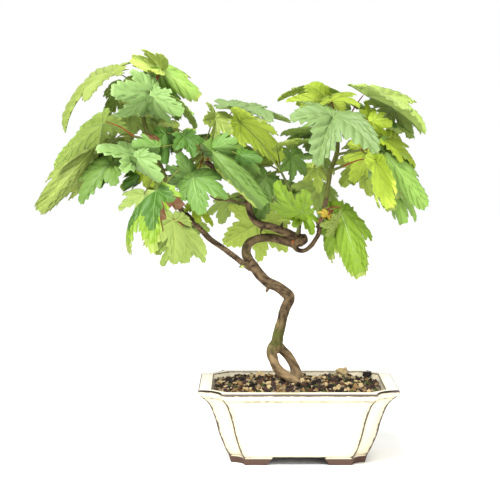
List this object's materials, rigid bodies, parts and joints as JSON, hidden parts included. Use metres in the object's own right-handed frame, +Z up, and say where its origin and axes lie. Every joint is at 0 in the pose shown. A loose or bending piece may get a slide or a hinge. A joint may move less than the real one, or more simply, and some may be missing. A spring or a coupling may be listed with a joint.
{
  "type": "potted bonsai tree",
  "caption": "Small sycamore maple bonsai: a winding trunk with long boughs and broad drooping lobed leaves, in a low glazed rectangular pot on corner feet.",
  "frame": {"origin": "centre of the whole plant's box in plan, at the level that the pot's feet stand on", "axes": "+Z up; -Y towards the tree's display front; +X to the right of that front"},
  "size_m": [0.3127, 0.1545, 0.3313],
  "materials": {
    "glaze": "gloss",
    "soil": "matte",
    "bark": "matte",
    "green_bark": "satin",
    "leaf": "satin"
  },
  "bodies": {
    "root": {"pot": "glaze", "soil": "soil", "trunk_foot": "bark", "trunk_middle": "bark", "trunk_arch": "bark", "bough_return": "bark", "bough_centre": "bark", "bough_left_lower": "bark", "bough_left_upper": "green_bark", "bough_right_lower": "bark", "bough_right_upper": "green_bark", "twig_dead": "bark", "foliage_crown_left": "leaf", "foliage_left": "leaf", "foliage_left_inner": "leaf", "foliage_left_low": "leaf", "foliage_centre": "leaf", "foliage_middle": "leaf", "foliage_behind": "leaf", "foliage_crown_right": "leaf", "foliage_top_right": "leaf", "foliage_right": "leaf", "foliage_right_front": "leaf", "foliage_right_inner": "leaf", "foliage_right_low": "leaf"}
  },
  "joints": []
}
